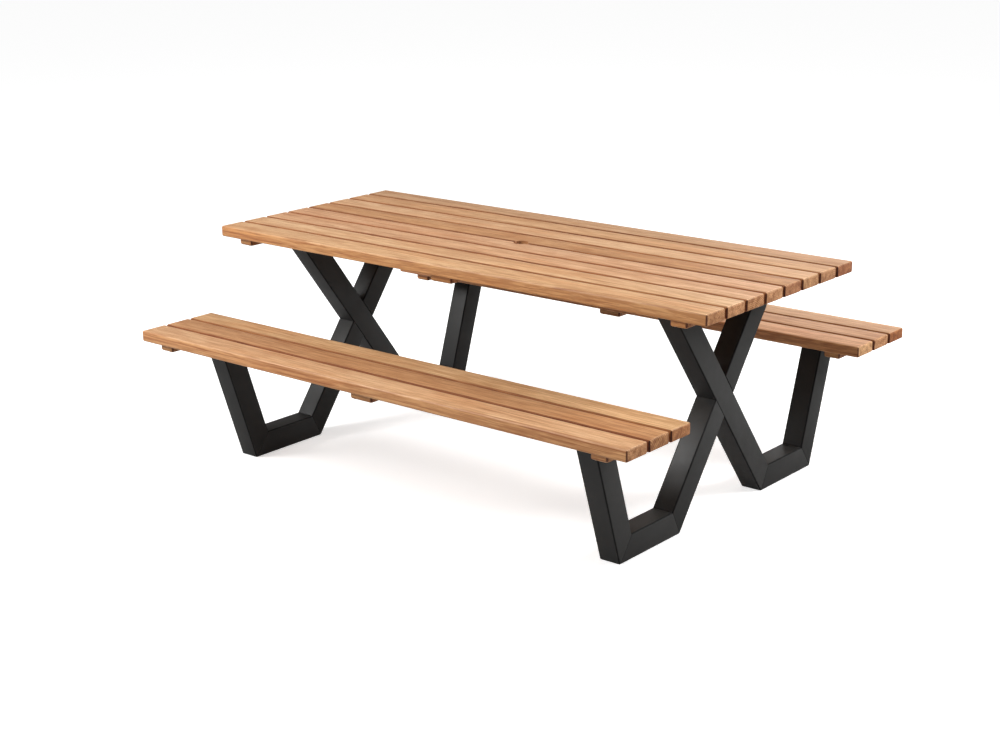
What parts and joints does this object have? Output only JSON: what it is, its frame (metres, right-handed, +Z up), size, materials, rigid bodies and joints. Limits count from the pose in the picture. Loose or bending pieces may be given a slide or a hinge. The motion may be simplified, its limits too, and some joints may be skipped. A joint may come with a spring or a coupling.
{
  "type": "picnic table",
  "caption": "Picnic table with a slatted hardwood top, a fixed slatted bench on each side, a parasol hole and crossed frames of black steel tube.",
  "frame": {"origin": "on the ground under the middle of the table", "axes": "+X along the planks to the right end, +Z up, and the near bench on the -Y side"},
  "size_m": [2, 1.594, 0.76],
  "materials": {
    "top_wood": "oiled hardwood, satin",
    "bench_wood": "oiled hardwood, satin",
    "batten_wood": "oiled hardwood, satin",
    "frame_steel": "matt black powder coat",
    "plate_steel": "matt black powder coat",
    "screw_steel": "plain stainless steel"
  },
  "bodies": {
    "root": {"top_plank_1": "top_wood", "top_plank_2": "top_wood", "top_plank_3": "top_wood", "top_plank_4": "top_wood", "top_plank_5": "top_wood", "top_plank_6": "top_wood", "top_plank_7": "top_wood", "top_plank_8": "top_wood", "near_bench_plank_1": "bench_wood", "near_bench_plank_2": "bench_wood", "near_bench_plank_3": "bench_wood", "far_bench_plank_1": "bench_wood", "far_bench_plank_2": "bench_wood", "far_bench_plank_3": "bench_wood", "top_batten_left": "batten_wood", "top_batten_middle": "batten_wood", "top_batten_right": "batten_wood", "near_bench_batten_left": "batten_wood", "near_bench_batten_middle": "batten_wood", "near_bench_batten_right": "batten_wood", "far_bench_batten_left": "batten_wood", "far_bench_batten_middle": "batten_wood", "far_bench_batten_right": "batten_wood", "left_frame_long_arm": "frame_steel", "left_frame_lower_arm": "frame_steel", "left_frame_upper_arm": "frame_steel", "left_frame_near_foot": "frame_steel", "left_frame_far_foot": "frame_steel", "left_frame_near_post": "frame_steel", "left_frame_far_post": "frame_steel", "left_top_plate": "plate_steel", "left_near_seat_plate": "plate_steel", "left_far_seat_plate": "plate_steel", "right_frame_long_arm": "frame_steel", "right_frame_lower_arm": "frame_steel", "right_frame_upper_arm": "frame_steel", "right_frame_near_foot": "frame_steel", "right_frame_far_foot": "frame_steel", "right_frame_near_post": "frame_steel", "right_frame_far_post": "frame_steel", "right_top_plate": "plate_steel", "right_near_seat_plate": "plate_steel", "right_far_seat_plate": "plate_steel", "top_plate_screws": "screw_steel", "near_bench_plate_screws": "screw_steel", "far_bench_plate_screws": "screw_steel", "top_batten_screws": "screw_steel", "near_bench_batten_screws": "screw_steel", "far_bench_batten_screws": "screw_steel"}
  },
  "joints": []
}
